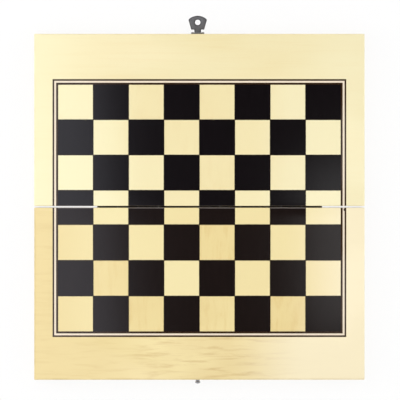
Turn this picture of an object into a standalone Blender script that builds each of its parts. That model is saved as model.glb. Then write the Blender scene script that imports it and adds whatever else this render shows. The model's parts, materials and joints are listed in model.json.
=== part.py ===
"""Folding wooden games case, opened flat with its checkered board faces up.

Two shallow trays are joined rim to rim by a strip hinge. Opened flat, each tray stands on the
outer edge of its rim and on the hinge barrel, so it leans out by half a degree.
Lengths are in metres. X runs along the hinge, +Y points to the hasp and +Z is up. The origin
is the middle of the base of the bounding box.
"""

import math

import bmesh
import bpy
from mathutils import Matrix, Vector

# Trays
case_width = 0.290
half_depth = 0.151
tray_height = 0.023
board_thickness = 0.003
rail_thickness = 0.009
corner_lap_share = 0.5
edge_ease = 0.0004
seam_gap = 0.00125
closed_gap = 0.0004
glue_gap = 0.0003

# Brads of the corner laps
brad_radius = 0.0006
brad_head_radius = 0.001
brad_head_height = 0.0005
brad_length = 0.016
brad_tip = 0.0012
brad_sink = 0.0001
brad_height_shares = (0.25, 0.75)

# Strip hinge, let into the rims
hinge_length = 0.198
hinge_offset = 0.009
knuckle_count = 11
knuckle_gap = 0.0003
barrel_radius = 0.00125
leaf_thickness = 0.0005
hinge_pin_play = 0.00015
leaf_margin = 0.0012
tongue_step = 0.0001
mortise_gap = 0.0003

# Nails of the hinge leaves
hinge_nails = 5
hinge_nail_radius = 0.0007
hinge_nail_head_radius = 0.0014
hinge_nail_head_height = 0.0006
hinge_nail_length = 0.009
hinge_nail_tip = 0.0015
hinge_nail_sink = 0.00005
hinge_nail_play = 0.0002

# Hasp on the far front rail
clasp_offset = -0.0015
hasp_sheet = 0.0004
hasp_barrel_radius = 0.0009
hasp_pin_play = 0.0001
hasp_seat_gap = 0.0003
hasp_floor_gap = 0.0001
hasp_knuckle_gap = 0.0003
hasp_plate_width = 0.0115
hasp_plate_height = 0.0105
hasp_plate_corner = 0.0015
hasp_nail_height_share = 0.6
hasp_nail_spread_share = 0.6
tab_neck_width = 0.0058
tab_shoulder_width = 0.0113
tab_shoulder_reach = 0.0033
tab_fan_width = 0.0169
tab_fan_reach = 0.0120
tab_reach = 0.0154
tab_corner = 0.0011
tab_hole_radius = 0.0026
tab_hole_reach = 0.0096

# Round-head nails of the hasp plate
hasp_nail_radius = 0.0005
hasp_nail_head_radius = 0.0011
hasp_nail_head_height = 0.0005
hasp_nail_length = 0.0065
hasp_nail_tip = 0.001
hasp_nail_play = 0.0002
hasp_nail_seat_gap = 0.0001

# Catch stud on the near front rail
stud_radius = 0.00215
stud_neck_radius = 0.0018
stud_length = 0.0036
stud_neck_length = 0.0012
stud_flare = 0.0004
stud_dome = 0.0011
stud_shank_radius = 0.001
wood_behind_stud = 0.002

# Working values shared by all pieces
wood_hole_gap = 0.0003
cut_overrun = 0.001
merge_distance = 0.0000001
round_sides = 16
hole_sides = 24
arc_steps = 8
dome_steps = 3
smooth_angle = math.radians(40)

# Sizes that follow from the ones above
rim_level = closed_gap / 2
board_top = rim_level + tray_height
board_under = board_top - board_thickness
rail_top = board_under - glue_gap
seam_reach = seam_gap / 2
front_reach = seam_reach + half_depth
corner_lap = rail_thickness * corner_lap_share
lean = math.atan2(rim_level, front_reach) + math.asin(
    barrel_radius / math.hypot(front_reach, rim_level))

hinge_bore_radius = barrel_radius - leaf_thickness
hinge_pin_radius = hinge_bore_radius - hinge_pin_play
leaf_notch = barrel_radius + mortise_gap
leaf_reach = seam_reach + rail_thickness - leaf_margin
nail_reach = (leaf_notch + leaf_reach) / 2
knuckle_pitch = hinge_length / knuckle_count
hinge_start = hinge_offset - hinge_length / 2

hasp_bore_radius = hasp_barrel_radius - hasp_sheet
hasp_pin_radius = hasp_bore_radius - hasp_pin_play
hasp_axis_out = front_reach + hasp_seat_gap + hasp_barrel_radius
hasp_axis_height = hasp_barrel_radius + hasp_floor_gap
hasp_axis_up = (hasp_axis_height - barrel_radius + hasp_axis_out * math.sin(lean)) / math.cos(lean)
stud_up = tab_hole_reach - hasp_axis_up
stud_shank_length = rail_thickness - wood_behind_stud
stud_tip_out = front_reach + hasp_seat_gap + stud_length

# Where the hinge axis lies, so that the origin is in the middle of the base
far_extent = hasp_axis_out * math.cos(lean) + hasp_axis_up * math.sin(lean) + tab_reach
near_extent = stud_tip_out * math.cos(lean) + stud_up * math.sin(lean)
hinge_y = (near_extent - far_extent) / 2


def clear_scene():
    for thing in list(bpy.data.objects):
        bpy.data.objects.remove(thing, do_unlink=True)


def make_finish(name, colour, roughness, metallic):
    finish = bpy.data.materials.new(name)
    finish.use_nodes = True
    shader = finish.node_tree.nodes["Principled BSDF"]
    shader.inputs["Base Color"].default_value = (*colour, 1)
    shader.inputs["Roughness"].default_value = roughness
    shader.inputs["Metallic"].default_value = metallic
    return finish


def add_axis(name, location, turn):
    """An empty on a joint's axis, which carries the pieces that turn about it."""
    axis = bpy.data.objects.new(name, None)
    axis.location = location
    axis.rotation_euler = (turn, 0, 0)
    bpy.context.collection.objects.link(axis)
    return axis


def facing(direction, place):
    """Matrix that puts a turned shape's top at a place, looking in a direction."""
    turn = Vector((0, 0, 1)).rotation_difference(Vector(direction))
    return Matrix.Translation(place) @ turn.to_matrix().to_4x4()


def box(size, ease=0):
    shape = bmesh.new()
    bmesh.ops.create_cube(shape, size=1, matrix=Matrix.Diagonal((*size, 1)))
    if ease:
        bmesh.ops.bevel(shape, geom=shape.edges[:], offset=ease, segments=2, profile=0.5,
                        affect="EDGES")
    return shape


def box_between(low, high):
    shape = box([top - bottom for bottom, top in zip(low, high)])
    shape.transform(Matrix.Translation([(bottom + top) / 2 for bottom, top in zip(low, high)]))
    return shape


def prism(outline, along):
    """A solid whose flat outline, a list of points, is extruded along a vector."""
    shape = bmesh.new()
    face = shape.faces.new([shape.verts.new(point) for point in outline])
    pushed = bmesh.ops.extrude_face_region(shape, geom=[face])["geom"]
    corners = [part for part in pushed if isinstance(part, bmesh.types.BMVert)]
    bmesh.ops.translate(shape, verts=corners, vec=along)
    bmesh.ops.recalc_face_normals(shape, faces=shape.faces[:])
    return shape


def turned(profile, placing, sides=round_sides):
    """A round solid: (radius, height) points, bottom to top, spun about Z and placed.

    An end that doesn't reach the axis is closed by one flat face.
    """
    shape = bmesh.new()
    points = [shape.verts.new((radius, 0, height)) for radius, height in profile]
    edges = [shape.edges.new(pair) for pair in zip(points, points[1:])]
    bmesh.ops.spin(shape, geom=points + edges, cent=(0, 0, 0), axis=(0, 0, 1),
                   angle=math.tau, steps=sides)
    bmesh.ops.remove_doubles(shape, verts=shape.verts[:], dist=merge_distance)
    bmesh.ops.holes_fill(shape, edges=[edge for edge in shape.edges if edge.is_boundary])
    bmesh.ops.recalc_face_normals(shape, faces=shape.faces[:])
    shape.transform(placing)
    return shape


def rod(radius, bottom, top, placing, sides=round_sides):
    return turned([(radius, bottom), (radius, top)], placing, sides)


def joined_mesh(name, shapes):
    whole = bmesh.new()
    for shape in shapes:
        part = bpy.data.meshes.new(name)
        shape.to_mesh(part)
        shape.free()
        whole.from_mesh(part)
        bpy.data.meshes.remove(part)
    mesh = bpy.data.meshes.new(name)
    whole.to_mesh(mesh)
    whole.free()
    return mesh


def add_object(name, mesh, parent, location=(0, 0, 0), turn=(0, 0, 0)):
    thing = bpy.data.objects.new(name, mesh)
    thing.parent = parent
    thing.location = location
    thing.rotation_euler = turn
    bpy.context.collection.objects.link(thing)
    return thing


def add_piece(name, shape, finish, parent, location=(0, 0, 0), turn=(0, 0, 0)):
    mesh = joined_mesh(name, [shape])
    mesh.materials.append(finish)
    return add_object(name, mesh, parent, location, turn)


def shade_round(piece):
    piece.data.shade_smooth()
    piece.data.set_sharp_from_angle(angle=smooth_angle)


def apply_guide(piece, label, shapes, operation):
    """Cut a piece with shapes given in its parent's axes, or join them to it."""
    guide = add_object(piece.name + "_" + label, joined_mesh(label, shapes), piece.parent)
    guide.hide_render = True
    guide.display_type = "WIRE"
    change = piece.modifiers.new(label, "BOOLEAN")
    change.operation = operation
    change.solver = "EXACT"
    change.object = guide


def cut(piece, label, shapes):
    apply_guide(piece, label, shapes, "DIFFERENCE")


def join(piece, label, shapes):
    apply_guide(piece, label, shapes, "UNION")


def add_nail(name, mesh, parent, place, direction):
    """A fastener whose head is at a place and looks in a direction."""
    turn = Vector((0, 0, 1)).rotation_difference(Vector(direction)).to_euler()
    return add_object(name, mesh, parent, place, turn)


def nail_mesh(name, profile, finish):
    mesh = joined_mesh(name, [turned(profile, Matrix())])
    mesh.materials.append(finish)
    mesh.shade_smooth()
    mesh.set_sharp_from_angle(angle=smooth_angle)
    return mesh


def dome(radius, height, base):
    """Points of a rounded end, from its rim up to the axis."""
    angles = [math.pi / 2 * step / dome_steps for step in range(dome_steps)]
    rim = [(radius * math.cos(angle), base + height * math.sin(angle)) for angle in angles]
    return rim + [(0, base + height)]


def brad_profile():
    return [(0, -brad_length), (brad_radius, brad_tip - brad_length),
            (brad_radius, -brad_head_height), (brad_head_radius, -brad_head_height),
            (brad_head_radius, 0)]


def hinge_nail_profile():
    return [(0, -hinge_nail_length), (hinge_nail_radius, hinge_nail_tip - hinge_nail_length),
            (hinge_nail_radius, -hinge_nail_head_height), (hinge_nail_head_radius, 0)]


def hasp_nail_profile():
    return [(0, -hasp_nail_length), (hasp_nail_radius, hasp_nail_tip - hasp_nail_length),
            (hasp_nail_radius, 0)] + dome(hasp_nail_head_radius, hasp_nail_head_height, 0)


def stud_profile():
    """Shank in the wood, shoulder just clear of it, neck, flare and rounded head."""
    flare_end = hasp_seat_gap + stud_neck_length + stud_flare
    stem = [(stud_shank_radius, -stud_shank_length), (stud_shank_radius, hasp_seat_gap),
            (stud_neck_radius, hasp_seat_gap),
            (stud_neck_radius, hasp_seat_gap + stud_neck_length), (stud_radius, flare_end)]
    return stem + dome(stud_radius, stud_dome, hasp_seat_gap + stud_length - stud_dome)


def add_board(tray, finish):
    size = (case_width, half_depth, board_thickness)
    middle = (0, tray.side * (seam_reach + half_depth / 2), board_under + board_thickness / 2)
    add_piece(tray.name + "_board", box(size, edge_ease), finish, tray.axis, middle)


def add_cross_rail(tray, kind, face, inward, finish):
    """A rail along X. Its outer face is at a distance from the hinge; its ends are lapped."""
    size = (case_width, rail_thickness, rail_top - rim_level)
    middle = (0, tray.side * (face + inward * rail_thickness / 2), (rail_top + rim_level) / 2)
    rail = add_piece(tray.name + "_" + kind, box(size, edge_ease), finish, tray.axis, middle)
    laps = []
    for end in (-1, 1):
        inner = tray.side * (face + inward * (rail_thickness - corner_lap))
        past = tray.side * (face + inward * (rail_thickness + cut_overrun))
        shoulder = end * (case_width / 2 - rail_thickness - glue_gap)
        beyond = end * (case_width / 2 + cut_overrun)
        laps.append(box_between((min(shoulder, beyond), min(inner, past), rim_level - cut_overrun),
                                (max(shoulder, beyond), max(inner, past), rail_top + cut_overrun)))
    cut(rail, "laps", laps)
    cut(rail, "brad_holes", brad_holes(tray, face, inward))
    return rail


def add_side_rail(tray, kind, end, finish):
    tongue = rail_thickness - corner_lap + glue_gap
    length = half_depth - 2 * tongue
    size = (rail_thickness, length, rail_top - rim_level)
    middle = (end * (case_width / 2 - rail_thickness / 2),
              tray.side * (seam_reach + half_depth / 2), (rail_top + rim_level) / 2)
    rail = add_piece(tray.name + "_" + kind, box(size, edge_ease), finish, tray.axis, middle)
    holes = brad_holes(tray, seam_reach, 1, [end]) + brad_holes(tray, front_reach, -1, [end])
    cut(rail, "brad_holes", holes)


def brad_places(tray, face, inward, ends):
    height = rail_top - rim_level
    y = tray.side * (face + inward * brad_sink)
    return [(end * (case_width / 2 - rail_thickness / 2), y, rim_level + height * share)
            for end in ends for share in brad_height_shares]


def brad_holes(tray, face, inward, ends=(-1, 1)):
    looks = (0, -inward * tray.side, 0)
    shank = brad_radius + wood_hole_gap
    head = brad_head_radius + wood_hole_gap
    step = -brad_head_height - wood_hole_gap
    hole = [(shank, -brad_length - wood_hole_gap), (shank, step), (head, step), (head, cut_overrun)]
    return [turned(hole, facing(looks, place)) for place in brad_places(tray, face, inward, ends)]


def add_brads(tray, mesh):
    number = 1
    for face, inward in ((seam_reach, 1), (front_reach, -1)):
        looks = (0, -inward * tray.side, 0)
        for place in brad_places(tray, face, inward, (-1, 1)):
            add_nail(f"{tray.name}_brad_{number}", mesh, tray.axis, place, looks)
            number += 1


def hinge_nail_places(tray):
    pitch = hinge_length / hinge_nails
    return [(hinge_start + pitch * (number + 1 / 2), tray.side * nail_reach, rim_level + hinge_nail_sink)
            for number in range(hinge_nails)]


def cut_mortise(tray, rail):
    """The shallow bed of the leaf, the cove that clears the barrel, and the nails' holes."""
    bed = rim_level + leaf_thickness + mortise_gap
    below = rim_level - cut_overrun
    section = [(0, below), (leaf_reach + mortise_gap, below), (leaf_reach + mortise_gap, bed),
               (leaf_notch, bed), (leaf_notch, leaf_notch), (0, leaf_notch)]
    start = hinge_start - mortise_gap
    outline = [(start, tray.side * out, up) for out, up in section]
    cut(rail, "mortise", [prism(outline, (hinge_length + 2 * mortise_gap, 0, 0))])
    cut(rail, "nail_holes", [rod(hinge_nail_radius + wood_hole_gap, -hinge_nail_length - wood_hole_gap,
                                 0, facing((0, 0, -1), place))
                             for place in hinge_nail_places(tray)])


def knuckle_spans(first):
    """Where the knuckles of one leaf lie along X, every second one from a first."""
    return [(hinge_start + knuckle_pitch * number + knuckle_gap / 2,
             hinge_start + knuckle_pitch * (number + 1) - knuckle_gap / 2)
            for number in range(first, knuckle_count, 2)]


def leaf_outline(tray, spans):
    """The leaf in plan: a straight outer edge, and tongues that run in to the knuckles."""
    end = hinge_start + hinge_length
    points = [(hinge_start, leaf_notch)]
    for low, high in spans:
        left = low + tongue_step
        right = high - tongue_step
        points += [(left, leaf_notch), (left, 0), (right, 0), (right, leaf_notch)]
    points += [(end, leaf_notch), (end, leaf_reach), (hinge_start, leaf_reach)]
    return [(x, tray.side * out, rim_level) for x, out in points]


def add_leaf(tray, first, finish):
    spans = knuckle_spans(first)
    plate = prism(leaf_outline(tray, spans), (0, 0, leaf_thickness))
    leaf = add_piece(tray.name + "_hinge_leaf", plate, finish, tray.axis)
    along = facing((1, 0, 0), (0, 0, 0))
    join(leaf, "knuckles", [rod(barrel_radius, low, high, along) for low, high in spans])
    cut(leaf, "bore", [rod(hinge_bore_radius, hinge_start - cut_overrun,
                           hinge_start + hinge_length + cut_overrun, along)])
    shank = hinge_nail_radius + hinge_nail_play
    head = hinge_nail_head_radius + hinge_nail_play
    hole = [(shank, -leaf_thickness - cut_overrun), (shank, -hinge_nail_head_height), (head, 0),
            (head, cut_overrun)]
    cut(leaf, "countersinks", [turned(hole, facing((0, 0, -1), place))
                               for place in hinge_nail_places(tray)])
    shade_round(leaf)


def add_hinge_nails(tray, mesh):
    for number, place in enumerate(hinge_nail_places(tray), 1):
        add_nail(f"{tray.name}_hinge_nail_{number}", mesh, tray.axis, place, (0, 0, -1))


def add_hinge_pin(tray, finish):
    pin = rod(hinge_pin_radius, hinge_start, hinge_start + hinge_length, facing((1, 0, 0), (0, 0, 0)))
    shade_round(add_piece("hinge_pin", pin, finish, tray.axis))


def hasp_nail_places(out):
    spread = hasp_plate_width / 2 * hasp_nail_spread_share
    up = hasp_axis_up + hasp_plate_height * hasp_nail_height_share
    return [(clasp_offset + end * spread, out, up) for end in (-1, 1)]


def plate_outline():
    """The fixed plate in its own plane, with a notch for the tab's knuckle."""
    half = hasp_plate_width / 2
    notch = tab_neck_width / 2 + hasp_knuckle_gap
    notch_up = hasp_axis_up + hasp_barrel_radius + hasp_knuckle_gap
    top = hasp_axis_up + hasp_plate_height
    right = [(notch, notch_up), (notch, hasp_axis_up), (half, hasp_axis_up),
             (half, top - hasp_plate_corner), (half - hasp_plate_corner, top)]
    left = [(-x, up) for x, up in reversed(right)]
    return [(clasp_offset + x, front_reach + hasp_seat_gap, up) for x, up in right + left]


def add_hasp_plate(tray, finish):
    plate = add_piece("hasp_plate", prism(plate_outline(), (0, hasp_sheet, 0)), finish, tray.axis)
    half = hasp_plate_width / 2
    notch = tab_neck_width / 2 + hasp_knuckle_gap
    along = facing((1, 0, 0), (clasp_offset, hasp_axis_out, hasp_axis_up))
    join(plate, "knuckles", [rod(hasp_barrel_radius, low, high, along)
                             for low, high in ((-half, -notch), (notch, half))])
    cut(plate, "bore", [rod(hasp_bore_radius, -half - cut_overrun, half + cut_overrun, along)])
    face = front_reach + hasp_seat_gap + hasp_sheet
    cut(plate, "nail_holes", [rod(hasp_nail_radius + hasp_nail_play, -hasp_sheet - hasp_seat_gap,
                                  cut_overrun, facing((0, 1, 0), place))
                              for place in hasp_nail_places(face)])
    shade_round(plate)


def add_hasp_nails(tray, mesh):
    face = front_reach + hasp_seat_gap + hasp_sheet + hasp_nail_seat_gap
    for side, place in zip(("left", "right"), hasp_nail_places(face)):
        add_nail("hasp_nail_" + side, mesh, tray.axis, place, (0, 1, 0))


def add_hasp_pin(tray, finish):
    along = facing((1, 0, 0), (clasp_offset, hasp_axis_out, hasp_axis_up))
    half = hasp_plate_width / 2
    shade_round(add_piece("hasp_pin", rod(hasp_pin_radius, -half, half, along), finish, tray.axis))


def tab_outline():
    """The tab in plan: neck, shoulders, spreading sides and an arched end."""
    half_fan = tab_fan_width / 2
    rise = tab_reach - tab_fan_reach
    arch = (half_fan ** 2 + rise ** 2) / (2 * rise)
    spread = math.asin(half_fan / arch)
    angles = [spread - 2 * spread * step / arc_steps for step in range(arc_steps + 1)]
    end = [(arch * math.sin(angle), tab_reach - arch + arch * math.cos(angle)) for angle in angles]
    right = [(tab_neck_width / 2, 0), (tab_neck_width / 2, tab_shoulder_reach),
             (tab_shoulder_width / 2, tab_shoulder_reach)]
    left = [(-x, y) for x, y in reversed(right)]
    return [(x, y, -hasp_barrel_radius) for x, y in right + end + left]


def add_hasp_tab(axis, finish):
    shape = prism(tab_outline(), (0, 0, hasp_sheet))
    fan_edge = tab_fan_width / 2 - merge_distance
    corners = [edge for edge in shape.edges if all(abs(vert.co.x) > fan_edge for vert in edge.verts)]
    bmesh.ops.bevel(shape, geom=corners, offset=tab_corner, segments=3, profile=0.5, affect="EDGES")
    tab = add_piece("hasp_tab", shape, finish, axis)
    along = facing((1, 0, 0), (0, 0, 0))
    half_neck = tab_neck_width / 2
    join(tab, "knuckle", [rod(hasp_barrel_radius, -half_neck, half_neck, along)])
    cut(tab, "bore", [rod(hasp_bore_radius, -half_neck - cut_overrun, half_neck + cut_overrun, along)])
    hole = facing((0, 0, 1), (0, tab_hole_reach, 0))
    cut(tab, "hole", [rod(tab_hole_radius, -hasp_barrel_radius - cut_overrun, 0, hole, hole_sides)])
    shade_round(tab)


def add_catch_stud(tray, finish):
    place = (clasp_offset, -front_reach, stud_up)
    stud = add_piece("catch_stud", turned(stud_profile(), facing((0, -1, 0), place), hole_sides),
                     finish, tray.axis)
    shade_round(stud)


def drill_far_front_rail(rail):
    cut(rail, "hasp_nail_holes", [rod(hasp_nail_radius + wood_hole_gap, -hasp_nail_length, 0,
                                      facing((0, 1, 0), place))
                                  for place in hasp_nail_places(front_reach + hasp_seat_gap)])


def drill_near_front_rail(rail):
    place = (clasp_offset, -front_reach, stud_up)
    cut(rail, "stud_hole", [rod(stud_shank_radius + wood_hole_gap, -stud_shank_length - wood_hole_gap,
                                cut_overrun, facing((0, -1, 0), place))])


class Tray:
    """One half of the case. side is +1 for the half that reaches to +Y, and -1 for the other."""

    def __init__(self, name, side):
        self.name = name
        self.side = side
        self.axis = add_axis(name + "_fold_axis", (0, hinge_y, barrel_radius), -side * lean)


def main():
    clear_scene()
    veneer = make_finish("lacquered_veneer", (0.86, 0.73, 0.44), 0.25, 0)
    basswood = make_finish("pale_basswood", (0.80, 0.64, 0.36), 0.5, 0)
    wire_steel = make_finish("bright_wire_steel", (0.52, 0.51, 0.49), 0.35, 1)
    strip_steel = make_finish("dull_hinge_steel", (0.18, 0.175, 0.17), 0.45, 1)
    gunmetal = make_finish("gunmetal_hasp", (0.125, 0.125, 0.125), 0.45, 1)
    polished = make_finish("polished_stud", (0.45, 0.45, 0.46), 0.2, 1)

    brad = nail_mesh("brad", brad_profile(), wire_steel)
    hinge_nail = nail_mesh("hinge_nail", hinge_nail_profile(), strip_steel)
    hasp_nail = nail_mesh("hasp_nail", hasp_nail_profile(), gunmetal)

    near = Tray("near", -1)
    far = Tray("far", 1)
    for tray, first_knuckle, drill_front in ((near, 0, drill_near_front_rail),
                                             (far, 1, drill_far_front_rail)):
        add_board(tray, veneer)
        cut_mortise(tray, add_cross_rail(tray, "hinge_rail", seam_reach, 1, basswood))
        drill_front(add_cross_rail(tray, "front_rail", front_reach, -1, basswood))
        add_side_rail(tray, "left_rail", -1, basswood)
        add_side_rail(tray, "right_rail", 1, basswood)
        add_brads(tray, brad)
        add_leaf(tray, first_knuckle, strip_steel)
        add_hinge_nails(tray, hinge_nail)

    add_hinge_pin(near, wire_steel)
    add_catch_stud(near, polished)
    add_hasp_plate(far, gunmetal)
    add_hasp_pin(far, wire_steel)
    add_hasp_nails(far, hasp_nail)
    hasp_y = hinge_y + hasp_axis_out * math.cos(lean) + hasp_axis_up * math.sin(lean)
    add_hasp_tab(add_axis("hasp_axis", (clasp_offset, hasp_y, hasp_axis_height), 0), gunmetal)


main()
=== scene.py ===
"""The looks of a folding wooden games case, dressed over its packed CAD model.

The case lies opened flat with its checkered boards up. Each board is a thin panel with a veneer
inlay let in flush: squares, and two dark lines with a light strip between them. Under it are four
rails, and the rims of the two trays are joined by a strip hinge. A hasp swings over a stud.
Lengths are in metres. X runs along the hinge, +Y points to the hasp and +Z is up.
"""

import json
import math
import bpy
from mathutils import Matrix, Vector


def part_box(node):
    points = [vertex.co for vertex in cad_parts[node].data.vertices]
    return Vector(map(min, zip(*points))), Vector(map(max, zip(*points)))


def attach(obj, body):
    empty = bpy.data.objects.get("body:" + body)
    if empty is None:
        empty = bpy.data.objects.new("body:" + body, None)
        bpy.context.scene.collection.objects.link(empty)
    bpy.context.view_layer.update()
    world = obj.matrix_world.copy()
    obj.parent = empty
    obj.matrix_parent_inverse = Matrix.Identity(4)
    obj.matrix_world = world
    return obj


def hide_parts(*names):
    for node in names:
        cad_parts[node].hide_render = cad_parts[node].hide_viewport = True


bl_info = {
    "name": "Wooden Games Case",
    "version": (1, 0, 0),
    "blender": (4, 5, 0),
    "location": "View3D > Sidebar > Games Case",
    "description": "Dresses the CAD model of a folding games case with veneer, wood and metal",
    "category": "Object",
}

import bmesh
import bpy
from bpy.props import FloatProperty, FloatVectorProperty, IntProperty, PointerProperty
from bpy.types import Operator, Panel, PropertyGroup
from mathutils import Matrix, Vector

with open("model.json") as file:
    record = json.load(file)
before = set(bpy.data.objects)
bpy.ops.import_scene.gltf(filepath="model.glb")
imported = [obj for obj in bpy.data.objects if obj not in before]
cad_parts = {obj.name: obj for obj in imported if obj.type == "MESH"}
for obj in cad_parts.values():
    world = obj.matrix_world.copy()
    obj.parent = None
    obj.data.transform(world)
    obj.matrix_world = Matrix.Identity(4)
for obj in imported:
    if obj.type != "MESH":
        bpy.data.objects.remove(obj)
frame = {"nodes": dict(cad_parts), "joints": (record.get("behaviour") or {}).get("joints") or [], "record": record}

IMAGE_WIDTH_PX = 400
QUARTER_TURN = math.radians(90)
SMOOTH_ANGLE = math.radians(40)
MERGE_DISTANCE = 0.0000001
CURL_STEP = math.radians(9)
MANY_STEPS = 48
FEW_STEPS = 24


# Properties

def a_number(name, default, description, lowest=1):
    return IntProperty(name=name, description=description, default=default, min=lowest)


def a_seed(name, default, description):
    return IntProperty(name=name, description=description, default=default)


def a_length(name, default, description):
    return FloatProperty(name=name, description=description, default=default, min=0,
                         subtype="DISTANCE", unit="LENGTH", precision=5)


def a_share(name, default, description, lowest=0, highest=1):
    return FloatProperty(name=name, description=description, default=default, min=lowest,
                         max=highest, subtype="FACTOR")


def a_level(name, default, description):
    return FloatProperty(name=name, description=description, default=default, min=0)


def some_pixels(name, default, description, **limits):
    return FloatProperty(name=name, description=description, default=default, subtype="PIXEL",
                         **limits)


def a_colour(name, default, description):
    """A colour of three values, or of four where the last says how much it shows."""
    return FloatVectorProperty(name=name, description=description, default=default,
                               subtype="COLOR", size=len(default), min=0, max=1)


def a_span(name, default, description):
    """Two distances from the middle of the case."""
    return FloatVectorProperty(name=name, description=description, default=default, size=2,
                               min=0, unit="LENGTH", precision=4)


def a_stretch(name, default, description):
    """How fine a grain is, along each axis."""
    return FloatVectorProperty(name=name, description=description, default=default, size=3,
                               min=0, subtype="XYZ")


class InlayLook(PropertyGroup):
    """Sizes and colours of the veneer inlay on both boards."""

    columns: a_number("Columns", 8, "Squares along the hinge")
    full_rows: a_number("Full rows", 3, "Whole rows of squares on each board")
    square_width: a_length("Square width", 0.03106, "Width of a square, along the hinge")
    outer_ease: a_length("Outer ease", 0.0008, "Rounding of the boards' outer edges")
    seam_ease: a_length("Seam ease", 0.0004, "Rounding of the boards' edges at the seam")
    joint: a_length("Joint", 0.00006, "Open joint between two squares")
    joint_ease: a_length("Joint ease", 0.00004, "Chamfer along a square's top edges")
    depth: a_length("Inlay depth", 0.0006, "Thickness of the inlaid veneer")
    line_width: a_length("Line width", 0.00150, "Width of each dark border line")
    line_spacing: a_length("Line spacing", 0.00315,
                           "Distance between the middles of the two border lines")
    line: a_colour("Line", (0.024, 0.009, 0.001), "Dyed wood of the border lines")
    strip: a_colour("Strip", (0.93, 0.80, 0.62), "Light wood between the border lines")
    flame: a_colour("Flame", (0.77, 0.56, 0.215), "Darkest streaks of the figured light squares")
    stretch: a_stretch("Stretch", (3.0, 0.6, 0.6), "Grain of the light squares")
    creep: a_length("Dye creep", 0.00033, "How far the dye has crept into the light squares")
    creep_blur: a_length("Dye creep blur", 0.00008, "Softness of the crept dye's edge")
    creep_wander: a_length("Dye creep wander", 0.00030, "How unevenly the dye has crept")
    # Colour and width of the painted highlight along the near board's seam arris.
    painted_arris_highlight: a_colour("Rubbed dye", (0.42, 0.38, 0.36), "Dyed wood where its edge is rubbed")
    painted_arris_highlight_width: a_length("Rubbed width", 0.00055, "Width of the rubbed edge by the seam")
    spot_radius: a_length("Spot radius", 0.0009, "Half the width of the spilt drop of dye")
    spot_reach: a_length("Spot reach", 0.00175, "Distance of the drop from the seam")
    spot_rise: a_length("Spot rise", 0.00003, "Thickness of the dried drop")


# What differs between the boards: its kind, the near board's value, the far board's, its meaning
BOARD_VALUES = {
    "square_depth": (a_length, 0.03133, 0.03097, "Depth of a whole square"),
    "cut_depth": (a_length, 0.0148, 0.01365, "Depth of the cut row of squares beside the seam"),
    "seed": (a_seed, 1408, 2326, "Seed of the squares' tints"),
    "ebonised": (a_colour, (0.0091, 0.0055, 0.0047), (0.0050, 0.0036, 0.0042),
                 "Dyed wood of the dark squares"),
    "square": (a_colour, (0.95, 0.835, 0.465), (0.95, 0.845, 0.505),
               "Lightest of the light squares"),
    "square_tan": (a_colour, (0.83, 0.63, 0.25), (0.89, 0.73, 0.37),
                   "Darkest of the light squares"),
    "warmth": (a_share, 0.60, 0.40, "How much darker the darkest light square is"),
    "figure": (a_share, 0.50, 0.15, "Strength of the grain in the light squares"),
    "pale": (a_colour, (0.97, 0.82, 0.44), (0.94, 0.83, 0.50), "Lightest wood of the panel"),
    "tan": (a_colour, (0.76, 0.575, 0.27), (0.89, 0.73, 0.37), "Darkest wood of the panel"),
    "streaks": (a_share, 0.85, 0.25, "Strength of the streaks in the margin"),
    "stretch": (a_stretch, (1.8, 0.8, 0.8), (1.0, 1.0, 1.0), "Grain of the panel"),
    # Strength of the painted shade that darkens each board's rim.
    "handling": (a_share, 0.5, 0.2, "How much the rim is darkened by hands"),
    "left": (a_colour, (0.84, 0.67, 0.31, 0.75), (1.0, 0.95, 0.62, 0.55),
             "Wood at the left side, and how much it shows"),
    "right": (a_colour, (1.0, 0.885, 0.61, 0.95), (1.0, 0.95, 0.66, 0.40),
              "Wood at the right side, and how much it shows"),
    "margin_fade": (a_span, (0.022, 0.095), (0.055, 0.145),
                    "Where the wood of the sides fades into the margin"),
    "square_fade": (a_span, (0.070, 0.145), (0.045, 0.085),
                    "Where the wood of the sides fades into the squares"),
}


def board_look(name, column):
    """The property group of one board, with the defaults of a column of the values above."""
    fields = {label: value[0](f"{name} {label.replace('_', ' ')}", value[column], value[3])
              for label, value in BOARD_VALUES.items()}
    return type(name + "BoardLook", (PropertyGroup,),
                {"__doc__": "Sizes and colours of one board.", "__annotations__": fields})


class WoodLook(PropertyGroup):
    """Edges of the panels, wood of the rails, and the painted points."""

    ply: a_length("Ply", 0.0005, "Thickness of the panels' face veneers")
    ply_seam: a_length("Ply seam", 0.00005, "Thickness of the glue line under a face veneer")
    core: a_colour("Core", (0.84, 0.74, 0.58), "Tint of the panels' core, over the face wood")
    glue: a_colour("Glue", (0.30, 0.18, 0.08), "Glue line under a face veneer")
    # Tint and span of the painted shade along the panels' rims.
    painted_rim_shade: a_colour("Handled", (0.72, 0.66, 0.50), "Tint of a handled rim, over the face wood")
    painted_rim_shade_span: a_span("Handled rim", (0.0022, 0.0003),
                        "Distances from the rim where the handling begins and is full")
    rail_pale: a_colour("Rail pale", (0.86, 0.72, 0.44), "Lightest wood of the rails")
    rail_tan: a_colour("Rail tan", (0.70, 0.50, 0.25), "Darkest wood of the rails")
    dark_point: a_colour("Dark point", (0.060, 0.022, 0.012), "Stain of every second point")
    light_point: a_colour("Light point", (0.52, 0.23, 0.075), "Stain of the other points")
    points_in_row: a_number("Points in a row", 6, "Backgammon points at each end of a tray")
    point_share: a_share("Point length share", 0.42,
                         "Length of a point over the tray's inner length", 0.1, 0.5)
    point_gap: a_length("Point gap", 0.0016, "Bare wood between two points")
    point_tip: a_length("Point tip", 0.0009, "Width of a point's rounded tip")
    point_thickness: a_length("Point thickness", 0.00005, "Thickness of the stained layer")


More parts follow.
